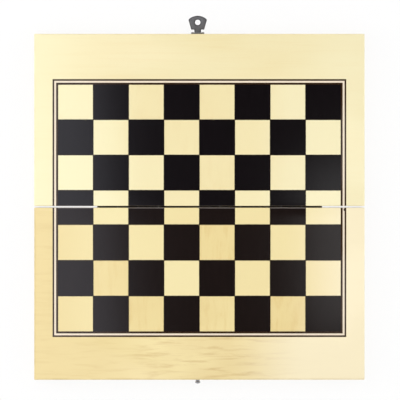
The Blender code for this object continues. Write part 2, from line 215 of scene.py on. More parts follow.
class MetalLook(PropertyGroup):
    """Colours of the metal parts."""

    wire: a_colour("Wire", (0.50, 0.49, 0.47), "Bright drawn wire of brads and pins")
    strip: a_colour("Hinge strip", (0.16, 0.152, 0.144), "Dull rolled strip of the hinge")
    gunmetal: a_colour("Gunmetal", (0.24, 0.24, 0.243), "Finish of the hasp's tab")
    plate: a_colour("Hasp plate", (0.115, 0.104, 0.102), "Duller finish of the hasp's plate")
    stud: a_colour("Stud", (0.34, 0.34, 0.35), "Polished steel of the catch stud")


class HardwareLook(PropertyGroup):
    """Sheet, knuckles and stamping of the hinge, hasp and stud."""

    hasp_sheet: a_length("Hasp sheet", 0.0004, "Thickness of the hasp's metal")
    hasp_barrel: a_length("Hasp barrel radius", 0.0009, "Outer radius of the hasp's knuckles")
    neck_width: a_length("Neck width", 0.0058, "Width of the tab beside its knuckle")
    shoulder_width: a_length("Shoulder width", 0.0113, "Width of the tab at its shoulders")
    shoulder_reach: a_length("Shoulder reach", 0.0033, "Distance of the shoulders from the pin")
    fan_reach: a_length("Fan reach", 0.0120, "Distance of the widest place from the pin")
    corner: a_length("Corner", 0.0007, "Easing of the tab's outer corners")
    hole_radius: a_length("Hole radius", 0.00245, "Radius of the hole in the tab")
    hole_reach: a_length("Hole reach", 0.0096, "Distance of the hole from the pin")
    border: a_length("Stamped border", 0.0009, "Width of the pressed border and dished ring")
    lift: a_length("Stamped lift", 0.00008, "How far the field stands above the border")
    knuckle_gap: a_length("Knuckle gap", 0.0003, "Gap between two knuckles")
    hinge_knuckles: a_number("Hinge knuckles", 11, "Knuckles of both hinge leaves together", 3)
    hinge_sheet: a_length("Hinge sheet", 0.0005, "Thickness of the hinge strip")
    hinge_barrel: a_length("Hinge barrel radius", 0.00125, "Outer radius of its knuckles")
    nail_hole: a_length("Nail hole radius", 0.0007, "Radius of the nail holes in the plate")
    stud_radius: a_length("Stud radius", 0.0023, "Radius of the catch stud's head")
    stud_neck: a_length("Stud neck", 0.0018, "Radius of the catch stud's neck")
    stud_round: a_length("Stud rounding", 0.0013, "Height of the rounded end of the stud")


class StageLook(PropertyGroup):
    """Camera, light and floor."""

    camera_height: a_length("Camera height", 6.0, "Height of the lens above the boards")
    case_width_px: some_pixels("Case width", 330.5, "Width of the case in the photograph",
                               min=1)
    middle_right_px: some_pixels("Middle, right", -0.6,
                                 "How far the case is right of the image's middle")
    middle_down_px: some_pixels("Middle, down", 6.8,
                                "How far the case is below the image's middle")
    sky: a_level("Sky", 0.87, "Brightness of the white surroundings")
    sky_opening: a_share("Sky opening", 0.30, "Size of the dark opening overhead")
    sky_full: a_share("Sky full", 0.60, "Size at which the surroundings are at their brightest")
    left_glow: a_level("Left glow", 1.22, "Brightness of the soft panel overhead on the left")
    right_glow: a_level("Right glow", 1.08, "Brightness of the soft panel overhead on the right")
    left_tint: a_colour("Left tint", (0.885, 0.895, 1.0), "Colour of the left panel's light")
    left_reach: a_length("Left reach", 0.095, "How far left of the middle the panel begins")
    right_reach: a_length("Right reach", 0.115, "How far right of the middle the panel begins")
    side_glow: a_level("Side glow", 3.6, "Brightness of the soft lamp at the left side")
    right_side_share: a_share("Right side share", 0.7, "The right side lamp's share of that")
    panel_height: a_length("Panel height", 1.2, "Height of the panels above the floor")
    floor_reach: a_length("Floor reach", 3.0, "Half the floor's width")
    floor_body: a_share("Floor body", 0.6, "How much of the floor is paper, for the light on it")
    floor_shade: a_share("Floor shade", 0.12, "How much of the light and shade the floor shows")


LOOKS = {"games_case_inlay": InlayLook, "games_case_near": board_look("Near", 1),
         "games_case_far": board_look("Far", 2), "games_case_wood": WoodLook,
         "games_case_metal": MetalLook, "games_case_hardware": HardwareLook,
         "games_case_stage": StageLook}


# Places, read from the packed model

def joint_place(name):
    return Vector(next(joint for joint in frame["joints"] if joint["name"] == name)["pos_m"])


def facing(way, place):
    """A placing whose Z axis points along a way, with its origin at a place."""
    turn = Vector((0, 0, 1)).rotation_difference(Vector(way))
    return Matrix.Translation(place) @ turn.to_matrix().to_4x4()


class Tray:
    """One half of the case, with its own axes: X along the hinge, Y from it, Z out of the board."""

    def __init__(self, name, side):
        self.name = name
        self.side = side
        self.body = name + "_half"
        face = next(mount for mount in frame["record"]["mounts"]
                    if mount["name"] == name + "_board_face")
        self.placing = facing(face["axis"], joint_place("fold"))

    @property
    def look(self):
        """Sizes and colours of its own board."""
        return getattr(bpy.context.scene, "games_case_" + self.name)

    def box(self, node):
        """Lowest and highest corner of a CAD node, in the tray's axes."""
        back = self.placing.inverted()
        places = [back @ vert.co for vert in frame["nodes"][node].data.vertices]
        return (Vector([min(place[axis] for place in places) for axis in range(3)]),
                Vector([max(place[axis] for place in places) for axis in range(3)]))

    def own_box(self, kind):
        return self.box(f"{self.name}_{kind}")

    def panel(self):
        """The board's box with Y counted away from the hinge: (low, high)."""
        low, high = self.own_box("board")
        reach = sorted((abs(low.y), abs(high.y)))
        return Vector((low.x, reach[0], low.z)), Vector((high.x, reach[1], high.z))


near = Tray("near", -1)
far = Tray("far", 1)
TRAYS = (near, far)


# Mesh helpers

def give_material(mesh, material):
    mesh.materials.clear()
    mesh.materials.append(material)


def linked(name, mesh):
    """An object for a mesh, in the scene."""
    piece = bpy.data.objects.new(name, mesh)
    bpy.context.collection.objects.link(piece)
    return piece


def discard(*pieces):
    for piece in pieces:
        bpy.data.objects.remove(piece, do_unlink=True)


def finished(name, mesh, body, slot, placing, material=None, replaced=(), smooth=SMOOTH_ANGLE):
    """Place a finished mesh as a piece that rides on a body and stands for CAD nodes."""
    if material:
        give_material(mesh, material)
    if smooth:
        mesh.shade_smooth()
        mesh.set_sharp_from_angle(angle=smooth)
    mesh.transform(placing)
    mesh.name = name
    piece = linked(name, mesh)
    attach(piece, body)
    if replaced:
        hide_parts(*replaced)


def board_piece(tray, kind, mesh, **options):
    finished(f"{tray.name}_{kind}", mesh, tray.body, "veneered_board", tray.placing, **options)


def to_mesh(name, shape):
    mesh = bpy.data.meshes.new(name)
    shape.to_mesh(mesh)
    shape.free()
    return mesh


def evaluated_mesh(piece):
    """A piece's mesh with its modifiers applied. The piece itself is removed."""
    graph = bpy.context.evaluated_depsgraph_get()
    mesh = bpy.data.meshes.new_from_object(piece.evaluated_get(graph), depsgraph=graph)
    discard(piece)
    return mesh


def combined(base, other, operation):
    """The mesh that a Boolean operation makes of two meshes."""
    piece = linked("base", base)
    tool = linked("tool", other)
    change = piece.modifiers.new("cut", "BOOLEAN")
    change.operation = operation
    change.solver = "EXACT"
    change.object = tool
    mesh = evaluated_mesh(piece)
    discard(tool)
    return mesh


def plain_box(low, high):
    shape = bmesh.new()
    bmesh.ops.create_cube(shape, size=1)
    middle = (low + high) / 2
    shape.transform(Matrix.Translation(middle) @ Matrix.Diagonal((*(high - low), 1)))
    return shape


def ease_edges(shape, edges, ease, segments):
    bmesh.ops.bevel(shape, geom=edges, offset=ease, segments=segments, profile=0.5,
                    affect="EDGES")


def eased_box(low, high, ease):
    shape = plain_box(low, high)
    ease_edges(shape, shape.edges[:], ease, 1)
    return shape


def prism(outline, along):
    """A solid whose flat outline, a list of points, is pushed along a vector."""
    shape = bmesh.new()
    face = shape.faces.new([shape.verts.new(point) for point in outline])
    pushed = bmesh.ops.extrude_face_region(shape, geom=[face])["geom"]
    corners = [part for part in pushed if isinstance(part, bmesh.types.BMVert)]
    bmesh.ops.translate(shape, verts=corners, vec=along)
    bmesh.ops.recalc_face_normals(shape, faces=shape.faces[:])
    return shape


def arc(middle, radius, start, end, steps):
    """Points of an arc in a plane, from one angle to another."""
    return [(middle[0] + radius * math.cos(start + (end - start) * step / steps),
             middle[1] + radius * math.sin(start + (end - start) * step / steps))
            for step in range(steps + 1)]


def lathe(profile, placing, steps=MANY_STEPS):
    """A solid turned from (radius, height) points that start and end on its own Z axis."""
    shape = bmesh.new()
    verts = [shape.verts.new((radius, 0, height)) for radius, height in profile]
    edges = [shape.edges.new(pair) for pair in zip(verts, verts[1:])]
    bmesh.ops.spin(shape, geom=verts + edges, axis=(0, 0, 1), cent=(0, 0, 0), steps=steps,
                   angle=math.tau)
    bmesh.ops.remove_doubles(shape, verts=shape.verts[:], dist=MERGE_DISTANCE)
    bmesh.ops.recalc_face_normals(shape, faces=shape.faces[:])
    shape.transform(placing)
    return to_mesh("turned", shape)


# Node helpers

class Value:
    """What a node puts out, so that maths between nodes reads like a formula."""

    def __init__(self, graph, socket):
        self.graph = graph
        self.socket = socket

    def __add__(self, other):
        return self.graph.math("ADD", self, other)

    def __sub__(self, other):
        return self.graph.math("SUBTRACT", self, other)

    def __rsub__(self, other):
        return self.graph.math("SUBTRACT", other, self)

    def __mul__(self, other):
        return self.graph.math("MULTIPLY", self, other)

    def __truediv__(self, other):
        return self.graph.math("DIVIDE", self, other)

    def __mod__(self, other):
        return self.graph.math("MODULO", self, other)

    def __lt__(self, other):
        return self.graph.math("LESS_THAN", self, other)

    def __gt__(self, other):
        return self.graph.math("GREATER_THAN", self, other)

    def __abs__(self):
        return self.graph.math("ABSOLUTE", self)

    def __floor__(self):
        return self.graph.math("FLOOR", self)


class Graph:
    """A node tree that is filled by calls, each of which adds a node and its links."""

    def __init__(self, tree):
        self.tree = tree

    def link(self, value, socket):
        """Lead a Value, another node's socket or a constant into a socket."""
        if isinstance(value, Value):
            value = value.socket
        if isinstance(value, bpy.types.NodeSocket):
            self.tree.links.new(value, socket)
        elif socket.type == "RGBA" and len(value) == 3:
            socket.default_value = (*value, 1.0)
        else:
            socket.default_value = value

    def add(self, kind, given=None, **settings):
        node = self.tree.nodes.new(kind)
        for name, value in settings.items():
            setattr(node, name, value)
        for key, value in (given or {}).items():
            self.link(value, node.inputs[key])
        return node

    def value(self, kind, given=None, output=0, **settings):
        """One output of a new node."""
        return Value(self, self.add(kind, given, **settings).outputs[output])

    def math(self, operation, first, second=0.0, clamp=False):
        return self.value("ShaderNodeMath", {0: first, 1: second}, operation=operation,
                          use_clamp=clamp)

    def least(self, first, second):
        return self.math("MINIMUM", first, second)

    def vector_math(self, operation, first, second):
        return self.value("ShaderNodeVectorMath", {0: first, 1: second}, operation=operation)

    def vector(self, x=0.0, y=0.0, z=0.0):
        return self.value("ShaderNodeCombineXYZ", {"X": x, "Y": y, "Z": z})

    def parts(self, vector):
        """The three numbers of a vector."""
        outputs = self.add("ShaderNodeSeparateXYZ", {0: vector}).outputs
        return [Value(self, outputs[axis]) for axis in "XYZ"]

    def ramp(self, value, low, high):
        """A smooth rise from 0 to 1 as a value goes from low to high."""
        return self.value("ShaderNodeMapRange",
                          {"Value": value, "From Min": low, "From Max": high}, "Result",
                          interpolation_type="SMOOTHSTEP")

    def noise(self, place, scale, detail=2.0, roughness=0.5, distortion=0.0):
        """Noise at a place that is first stretched along each axis."""
        stretched = self.vector_math("MULTIPLY", place, scale)
        return self.value("ShaderNodeTexNoise",
                          {"Vector": stretched, "Scale": 1.0, "Detail": detail,
                           "Roughness": roughness, "Distortion": distortion}, "Fac")

    def mix(self, factor, first, second, blend="MIX"):
        return self.value("ShaderNodeMix", {0: factor, 6: first, 7: second}, 2,
                          data_type="RGBA", blend_type=blend, clamp_factor=True)

    def tinted(self, colour, tint):
        return self.mix(1.0, colour, tint, "MULTIPLY")

    def points(self, count, x, y, z):
        """As many points as asked for, each at its own place."""
        points = self.value("GeometryNodePoints", {"Count": count})
        return self.value("GeometryNodeSetPosition",
                          {"Geometry": points, "Position": self.vector(x, y, z)})

    def store(self, geometry, name, value, kind="FLOAT"):
        """Keep a value on each point, under a name."""
        node = self.add("GeometryNodeStoreNamedAttribute", {"Geometry": geometry, "Name": name},
                        data_type=kind, domain="POINT")
        self.link(value, next(socket for socket in node.inputs
                              if socket.name == "Value" and socket.enabled))
        return node.outputs["Geometry"]

    def shown(self, kind, given, **settings):
        """The one output that a node shows for its data type."""
        node = self.add(kind, given, **settings)
        return Value(self, next(socket for socket in node.outputs if socket.enabled))

    def laid(self, points, part, **given):
        """A part on each point. Given may hold the node's Selection and Rotation."""
        shape = self.value("GeometryNodeObjectInfo", {"Object": part}, "Geometry")
        return self.value("GeometryNodeInstanceOnPoints",
                          {"Points": points, "Instance": shape, **given}, "Instances")

    def painted(self, geometry, material, **given):
        return self.value("GeometryNodeSetMaterial",
                          {"Geometry": geometry, "Material": material, **given}, "Geometry")

    def put_out(self, instances, material, dark=None):
        """End a tree with real shapes and their material, and a dark one where is_dark says."""
        shapes = self.value("GeometryNodeRealizeInstances", {"Geometry": instances}, "Geometry")
        shapes = self.painted(shapes, material)
        if dark:
            stored = self.shown("GeometryNodeInputNamedAttribute", {"Name": "is_dark"},
                                data_type="FLOAT")
            shapes = self.painted(shapes, dark, Selection=stored > 0.5)
        self.add("NodeGroupOutput", {"Geometry": shapes})


def node_group(name, kind, inputs, outputs):
    """A group with named sockets: its graph, and its inputs' values by name."""
    tree = bpy.data.node_groups.new(name, kind)
    for label, (word, *default) in inputs.items():
        socket = tree.interface.new_socket(name=label, in_out="INPUT",
                                           socket_type="NodeSocket" + word)
        if default:
            socket.default_value = default[0]
    for label, word in outputs.items():
        tree.interface.new_socket(name=label, in_out="OUTPUT", socket_type="NodeSocket" + word)
    graph = Graph(tree)
    given = graph.add("NodeGroupInput").outputs
    return graph, {label: Value(graph, given[label]) for label in inputs}


def run_nodes(name, tree, values, base=None):
    """The plain mesh that a geometry node tree makes from its named inputs and a base mesh."""
    carrier = linked(name, base or bpy.data.meshes.new(name))
    change = carrier.modifiers.new(name, "NODES")
    change.node_group = tree
    for item in tree.interface.items_tree:
        if item.in_out == "INPUT" and item.name in values:
            change[item.identifier] = values[item.name]
    return evaluated_mesh(carrier)


# Shader groups

def wood_figure_group():
    """Grain of a pale wood that runs along X: broad clouds, streaks, fine fibres and pores."""
    name = "Wood figure"
    if name in bpy.data.node_groups:
        return bpy.data.node_groups[name]
    graph, given = node_group(
        name, "ShaderNodeTree",
        {"Place": ("Vector",), "Pale": ("Color",), "Tan": ("Color",), "Clouds": ("Float", 0.5),
         "Streaks": ("Float", 0.4), "Fibres": ("Float", 0.15), "Pores": ("Float", 0.2)},
        {"Colour": "Color", "Relief": "Float"})
    place = given["Place"]
    broad = graph.ramp(graph.noise(place, (7, 24, 24), 3.0), 0.32, 0.72)
    streak = graph.ramp(graph.noise(place, (16, 330, 330), 4.0, 0.6, 0.4), 0.45, 0.78)
    fibre = graph.noise(place, (70, 2600, 2600), 3.0, 0.65)
    pore = graph.ramp(graph.noise(place, (420, 5200, 5200), 1.0), 0.66, 0.74)
    tan = broad * given["Clouds"] + streak * given["Streaks"]
    tan = graph.math("ADD", tan, (fibre - 0.5) * given["Fibres"], clamp=True)
    colour = graph.mix(tan, given["Pale"], given["Tan"])
    pored = graph.mix(0.45, colour, (0.25, 0.13, 0.05))
    graph.add("NodeGroupOutput", {"Colour": graph.mix(pore * given["Pores"], colour, pored),
                                  "Relief": fibre * 0.6 - pore * 0.4})
    return graph.tree


def handled_metal_group():
    """Tarnish, fine scratches and a tumbled surface for small metal parts."""
    name = "Handled metal"
    if name in bpy.data.node_groups:
        return bpy.data.node_groups[name]
    graph, given = node_group(
        name, "ShaderNodeTree",
        {"Place": ("Vector",), "Metal": ("Color",), "Tarnish": ("Color",),
         "Tarnish amount": ("Float", 0.3), "Roughness": ("Float", 0.35),
         "Scratches": ("Float", 0.3)},
        {"Colour": "Color", "Roughness": "Float", "Relief": "Float"})
    place = given["Place"]
    stain = graph.ramp(graph.noise(place, (420, 420, 420), 4.0, 0.6), 0.42, 0.75)
    grit = graph.noise(place, (3800, 3800, 3800), 2.0)
    scratch = graph.noise(place, (260, 9000, 9000), 1.0, distortion=0.3)
    scratch = graph.ramp(scratch, 0.60, 0.72) * given["Scratches"]
    tarnished = stain * given["Tarnish amount"]
    rough = given["Roughness"] + tarnished * 0.25 + (grit - 0.5) * 0.12 - scratch * 0.10
    graph.add("NodeGroupOutput",
              {"Colour": graph.mix(tarnished, given["Metal"], given["Tarnish"]),
               "Roughness": rough, "Relief": grit - scratch})
    return graph.tree


# Materials

class Finish(Graph):
    """The nodes of a material. Values that are even all over stand on the shader's own sockets."""

    def __init__(self, name, constants):
        self.material = bpy.data.materials.new(name)
        self.material.use_nodes = True
        super().__init__(self.material.node_tree)
        self.shader = self.tree.nodes["Principled BSDF"]
        for label, value in constants.items():
            self.shader.inputs[label].default_value = value

    def place(self, turn=0.0, shift=(0, 0, 0)):
        """Object coordinates, turned so that the grain runs along X."""
        place = self.value("ShaderNodeTexCoord", output="Object")
        return self.value("ShaderNodeMapping",
                          {"Vector": place, "Rotation": (0, 0, turn), "Location": shift})

    def attribute(self, name, output="Vector"):
        return self.value("ShaderNodeAttribute", output=output, attribute_name=name)

    def group(self, tree, given):
        """A shader group's outputs, with its inputs given."""
        return self.add("ShaderNodeGroup", given, node_tree=tree).outputs

    def wood(self, place, pale, tan, clouds, streaks, fibres, pores):
        """Colour and relief of a piece of pale wood."""
        group = self.group(wood_figure_group(),
                           {"Place": place, "Pale": pale, "Tan": tan, "Clouds": clouds,
                            "Streaks": streaks, "Fibres": fibres, "Pores": pores})
        return group["Colour"], group["Relief"]

    def done(self, colour, relief, strength=0.12, distance=0.0002):
        """The material, once its colour and relief lead into the shader."""
        self.link(colour, self.shader.inputs["Base Color"])
        bump = self.value("ShaderNodeBump", {"Strength": strength, "Distance": distance,
                                             "Height": relief})
        self.link(bump, self.shader.inputs["Normal"])
        return self.material


def lacquered(name, specular=0.15, coat=1.0, haze=0.12):
    return Finish(name, {"Roughness": 0.5, "Specular IOR Level": specular, "Coat Weight": coat,
                         "Coat Roughness": haze})


def scaled(colour, factor):
    return [factor * part for part in colour]


def wood_material(name, pale, tan, turn=0.0, shift=(0, 0, 0), coat=1.0, haze=0.12, clouds=0.5,
                  streaks=0.4, fibres=0.15, pores=0.2):
    finish = lacquered(name, coat=coat, haze=haze)
    return finish.done(*finish.wood(finish.place(turn, shift), pale, tan, clouds, streaks,
                                    fibres, pores))


def side_wood_over(finish, colour, board, fade):
    """A colour that turns to another wood towards the left and right sides of a board."""
    x = finish.parts(finish.place())[0]
    for side, (*wood, share) in ((-1, board.left), (1, board.right)):
        rise = finish.ramp(x, side * fade[0], side * fade[1])
        colour = finish.mix(rise * share, colour, wood)
    return colour


def panel_material(look, tray):
    """Face veneers with the grain along X, a core that shows on the edges, and handled edges."""
    board = tray.look
    finish = lacquered(tray.name + "_panel_wood")
    place = finish.vector_math("MULTIPLY", finish.place(), tuple(board.stretch))
    face, relief = finish.wood(place, board.pale, board.tan, 0.45, board.streaks, 0.12, 0.15)
    face = side_wood_over(finish, face, board, board.margin_fade)
    low, high = tray.panel()
    seam = look.ply + look.ply_seam
    place = finish.attribute("tray_place")
    x, y, z = finish.parts(place)
    core = (finish.ramp(z, low.z + look.ply, low.z + seam)
            * finish.ramp(z, high.z - look.ply, high.z - seam))
    colour = finish.mix(core, face, finish.tinted(face, look.core))
    glued = core * (1.0 - core) * 3.0
    colour = finish.mix(glued, colour, look.glue)
    # Painted shade: the face wood darkens in patches within a few millimetres of the left and outer edges.
    painted_rim_shade = finish.ramp(finish.least(x - low.x, high.y - abs(y)), *look.painted_rim_shade_span)
    rim_shade_patches = finish.ramp(finish.noise(place, (45, 45, 45), 3.0), 0.25, 0.65)
    colour = finish.mix(painted_rim_shade * rim_shade_patches * board.handling, colour,
                        finish.tinted(colour, look.painted_rim_shade))
    return finish.done(colour, relief)


def light_square_material(look, tray):
    """Veneer whose tint and grain change from square to square, with dye crept in at its edges.

    Its grain runs along Y.
    """
    board = tray.look
    finish = lacquered(tray.name + "_light_veneer")
    tint = finish.attribute("tint", "Fac")
    place = finish.vector_math("ADD", finish.place(QUARTER_TURN),
                               finish.attribute("grain_shift"))
    place = finish.vector_math("MULTIPLY", place, tuple(look.stretch))
    pale = finish.mix(tint * board.warmth, board.square, board.square_tan)
    strength = finish.ramp(tint, 0.45, 1.0) * board.figure
    colour, relief = finish.wood(place, pale, look.flame, strength, strength, 0.10, 0.15)
    colour = side_wood_over(finish, colour, board, board.square_fade)
    x, y, z = finish.parts(finish.attribute("square_place"))
    edge = finish.least(look.square_width / 2 - abs(x), finish.least(y, z))
    uneven = finish.noise(finish.place(), (620, 620, 620), 3.0, 0.6)
    edge = edge - (uneven - 0.5) * look.creep_wander
    dyed = finish.ramp(edge, look.creep + look.creep_blur, look.creep - look.creep_blur)
    return finish.done(finish.mix(dyed, colour, look.line), relief)


def ebonised_material(look, tray):
    """Dyed veneer. Its dye is rubbed thin on the near board's arris beside the seam."""
    finish = lacquered(tray.name + "_ebonised_veneer", specular=0.0)
    fibre = finish.noise(finish.place(QUARTER_TURN), (60, 1900, 1900), 3.0, 0.6)
    fibre = finish.ramp(fibre, 0.35, 0.75)
    dye = tray.look.ebonised
    colour = finish.mix(fibre, dye, scaled(dye, 1.6))
    low, high = near.panel()
    arris = (near.placing @ Vector((0, -low.y, high.z))).y
    y = finish.parts(finish.place())[1]
    # Painted highlight: a pale grey band on the seam arris, where the rounded edge would catch the light.
    painted_arris_highlight = finish.ramp(y, arris - look.painted_arris_highlight_width, arris) * (y < arris + look.joint)
    return finish.done(finish.mix(painted_arris_highlight, colour, look.painted_arris_highlight), fibre, 0.10)


def dyed_line_material(look):
    finish = lacquered("dyed_line_veneer", specular=0.1)
    wash = finish.ramp(finish.noise(finish.place(), (900, 900, 900), 3.0), 0.3, 0.75)
    return finish.done(finish.mix(wash, look.line, scaled(look.line, 1.7)), wash, 0.08)


def metal_material(name, metal, stained, roughness, scratches, tarnish=0.55, pressed=None):
    """Handled metal. Pressed names an axis and two heights: it is dark towards the first."""
    finish = Finish(name, {"Metallic": 1.0})
    place = finish.place()
    group = finish.group(handled_metal_group(),
                         {"Place": place, "Metal": metal, "Tarnish": scaled(metal, tarnish),
                          "Tarnish amount": stained, "Roughness": roughness,
                          "Scratches": scratches})
    colour = group["Colour"]
    # Painted shade: the sunk border and dished rings of pressed sheet are darkened in the colour.
    if pressed:
        axis, low, high = pressed
        sunk = finish.ramp(finish.parts(place)["XYZ".index(axis)],
                           high - 0.05 * (high - low), high - 0.50 * (high - low))
        colour = finish.mix(sunk, colour, finish.tinted(colour, (0.25, 0.25, 0.25)))
    finish.link(group["Roughness"], finish.shader.inputs["Roughness"])
    return finish.done(colour, group["Relief"], 0.15, 0.00005)


# Boards

def field_reach(look, tray):
    """How far the field of squares reaches from the hinge."""
    return tray.panel()[0].y + tray.look.cut_depth + tray.look.square_depth * look.full_rows


def eased_panel(look, tray):
    """The whole board before anything is let into it, in the tray's axes.

    Its edges at the seam are crisper than the others.
    """
    shape = plain_box(*tray.own_box("board"))
    reach = tray.side * tray.panel()[0].y

    def at_seam(edge):
        return all(abs(vert.co.y - reach) < look.joint / 2 for vert in edge.verts)

    ease_edges(shape, [edge for edge in shape.edges if not at_seam(edge)], look.outer_ease, 5)
    ease_edges(shape, [edge for edge in shape.edges if at_seam(edge)], look.seam_ease, 4)
    return to_mesh("panel", shape)


def outside_squares(look, tray, margin):
    """Half the width and the reach of a frame that far outside the squares."""
    return (look.square_width * look.columns / 2 + margin, field_reach(look, tray) + margin)


def inlay_block(look, tray, outline):
    """A solid over an outline, from the bottom of the inlay to above the board."""
    bottom = tray.panel()[1].z - look.depth
    return to_mesh("block", prism([(x, tray.side * y, bottom) for x, y in outline],
                                  (0, 0, 2 * look.depth)))


def border_strip(look, tray, margin, width):
    """A U-shaped strip round the squares, open at the seam and let in flush."""
    start = -tray.panel()[0].y
    outer = outside_squares(look, tray, margin + width)
    inner = outside_squares(look, tray, margin)
    outline = [(-outer[0], start), (-outer[0], outer[1]), outer, (outer[0], start),
               (inner[0], start), inner, (-inner[0], inner[1]), (-inner[0], start)]
    return combined(inlay_block(look, tray, outline), eased_panel(look, tray), "INTERSECT")


class GAMESCASE_OT_panels(Operator):
    """Add the two boards, with the pocket for the inlay and plies that show on their edges"""

    bl_idname = "games_case.add_panels"
    bl_label = "Add panels"

    def execute(self, context):
        look = context.scene.games_case_inlay
        for tray in TRAYS:
            start = -tray.panel()[1].y
            half, reach = outside_squares(look, tray, look.line_spacing + look.line_width)
            pocket = inlay_block(look, tray, [(-half, start), (half, start), (half, reach),
                                              (-half, reach)])
            mesh = combined(eased_panel(look, tray), pocket, "DIFFERENCE")
            places = mesh.attributes.new("tray_place", "FLOAT_VECTOR", "POINT")
            places.data.foreach_set("vector", [part for vert in mesh.vertices for part in vert.co])
            board_piece(tray, "panel", mesh, replaced=[tray.name + "_board"],
                        material=panel_material(context.scene.games_case_wood, tray))
        return {"FINISHED"}


def square_template(look, tray, depth, seam_ease):
    """One square of veneer about its own middle, in section with eased top edges.

    On a cut row's square, the edge beside the seam is rounded as the board's own edge is.
    """
    half = depth / 2
    gap = look.joint / 2
    ease = look.joint_ease
    bottom = -look.depth
    if seam_ease:
        near_edge = [(-half, bottom)] + [
            (-half + seam_ease + y, -seam_ease + z)
            for y, z in arc((0, 0), seam_ease, math.pi, math.pi / 2, 5)]
    else:
        near_edge = [(-half + gap, bottom), (-half + gap, -ease), (-half + gap + ease, 0)]
    section = near_edge + [(half - gap - ease, 0), (half - gap, -ease), (half - gap, bottom)]
    width = look.square_width - look.joint
    shape = prism([(-width / 2, tray.side * y, z) for y, z in section], (width, 0, 0))
    ends = [edge for edge in shape.edges
            if abs(edge.verts[0].co.x - edge.verts[1].co.x) < MERGE_DISTANCE
            and min(vert.co.z for vert in edge.verts) > bottom / 2]
    ease_edges(shape, ends, ease, 1)
    mesh = to_mesh("square", shape)
    inside = mesh.attributes.new("square_place", "FLOAT_VECTOR", "POINT")
    for vert, place in zip(mesh.vertices, inside.data):
        out = tray.side * vert.co.y
        place.vector = (vert.co.x, half - out, 1.0 if seam_ease else half + out)
    return linked("square", mesh)


def squares_tree():
    """Geometry nodes that lay the squares of one board in rows, beginning with the cut row."""
    graph, given = node_group(
        "Lay squares", "GeometryNodeTree",
        {"Geometry": ("Geometry",), "Columns": ("Int", 8), "Full rows": ("Int", 3),
         "Square width": ("Float", 0.03), "Square depth": ("Float", 0.03),
         "Cut depth": ("Float", 0.015), "Start": ("Float", 0.0), "Side": ("Float", 1.0),
         "Top": ("Float", 0.0), "First dark": ("Int", 0), "Seed": ("Int", 0),
         "Whole square": ("Object",), "Cut square": ("Object",), "Light": ("Material",),
         "Dark": ("Material",)},
        {"Geometry": "Geometry"})
    index = graph.value("GeometryNodeInputIndex")
    row = math.floor(index / given["Columns"])
    column = index % given["Columns"]
    x = (column - (given["Columns"] - 1.0) / 2.0) * given["Square width"]
    is_cut = row < 0.5
    middle = given["Cut depth"] + (row - 0.5) * given["Square depth"]
    out = given["Cut depth"] / 2.0 * is_cut + middle * (1.0 - is_cut)
    y = (out + given["Start"]) * given["Side"]
    points = graph.points(given["Columns"] * (given["Full rows"] + 1.0), x, y, given["Top"])
    dark = (row + column + given["First dark"]) % 2.0
    tint = graph.shown("FunctionNodeRandomValue", {"Seed": given["Seed"]}, data_type="FLOAT")
    shift = graph.shown("FunctionNodeRandomValue",
                        {"Seed": given["Seed"], "Min": (0, 0, 0), "Max": (0.5, 0.5, 0.5)},
                        data_type="FLOAT_VECTOR")
    points = graph.store(points, "is_dark", dark)
    points = graph.store(points, "tint", tint)
    points = graph.store(points, "grain_shift", shift, "FLOAT_VECTOR")
    both = graph.add("GeometryNodeJoinGeometry")
    for label, chosen in (("Whole square", 1.0 - is_cut), ("Cut square", is_cut)):
        graph.link(graph.laid(points, given[label], Selection=chosen), both.inputs["Geometry"])
    graph.put_out(both.outputs["Geometry"], given["Light"], given["Dark"])
    return graph.tree


class GAMESCASE_OT_squares(Operator):
    """Lay the light and dark squares of both boards, each with its own tint and grain"""

    bl_idname = "games_case.add_squares"
    bl_label = "Add squares"

    def execute(self, context):
        look = context.scene.games_case_inlay
        tree = squares_tree()
        for tray in TRAYS:
            low, high = tray.panel()
            whole = square_template(look, tray, tray.look.square_depth, 0)
            cut = square_template(look, tray, tray.look.cut_depth, look.seam_ease)
            mesh = run_nodes("squares", tree, {
                "Columns": look.columns, "Full rows": look.full_rows,
                "Square width": look.square_width, "Square depth": tray.look.square_depth,
                "Cut depth": tray.look.cut_depth, "Start": low.y, "Side": float(tray.side),
                "Top": high.z, "First dark": 1, "Seed": tray.look.seed, "Whole square": whole,
                "Cut square": cut, "Light": light_square_material(look, tray),
                "Dark": ebonised_material(look, tray)})
            discard(whole, cut)
            board_piece(tray, "squares", mesh)
        return {"FINISHED"}


class GAMESCASE_OT_border(Operator):
    """Let the two dark lines and the light strip between them into both boards"""

    bl_idname = "games_case.add_border"
    bl_label = "Add border"

    def execute(self, context):
        look = context.scene.games_case_inlay
        dyed = dyed_line_material(look)
        pale = wood_material("light_strip_veneer", look.strip, scaled(look.strip, 0.9),
                             clouds=0.4, streaks=0.3)
        for tray in TRAYS:
            lines = bmesh.new()
            for margin in (0, look.line_spacing):
                lines.from_mesh(border_strip(look, tray, margin, look.line_width))
            board_piece(tray, "border_lines", to_mesh("lines", lines), material=dyed)
            strip = border_strip(look, tray, look.line_width, look.line_spacing - look.line_width)
            board_piece(tray, "border_strip", strip, material=pale)
        self.add_spot(look, dyed)
        return {"FINISHED"}

    def add_spot(self, look, dyed):
        """A dried drop of dye on the inner edge of the near board's right outer line."""
        half, _ = outside_squares(look, near, look.line_spacing)
        low, high = near.panel()
        radius, rise = look.spot_radius, look.spot_rise
        crown = 0.8 * radius
        length_over_width = 1.4
        profile = [(0, -look.depth / 2), (radius, -look.depth / 2), (radius, 0), (crown, rise),
                   (0, rise)]
        mesh = lathe(profile, Matrix.Diagonal((1, length_over_width, 1, 1)), FEW_STEPS)
        mesh.transform(Matrix.Translation((half, -low.y - look.spot_reach, high.z)))
        board_piece(near, "dye_spot", mesh, material=dyed, smooth=None)


# Inside of the trays

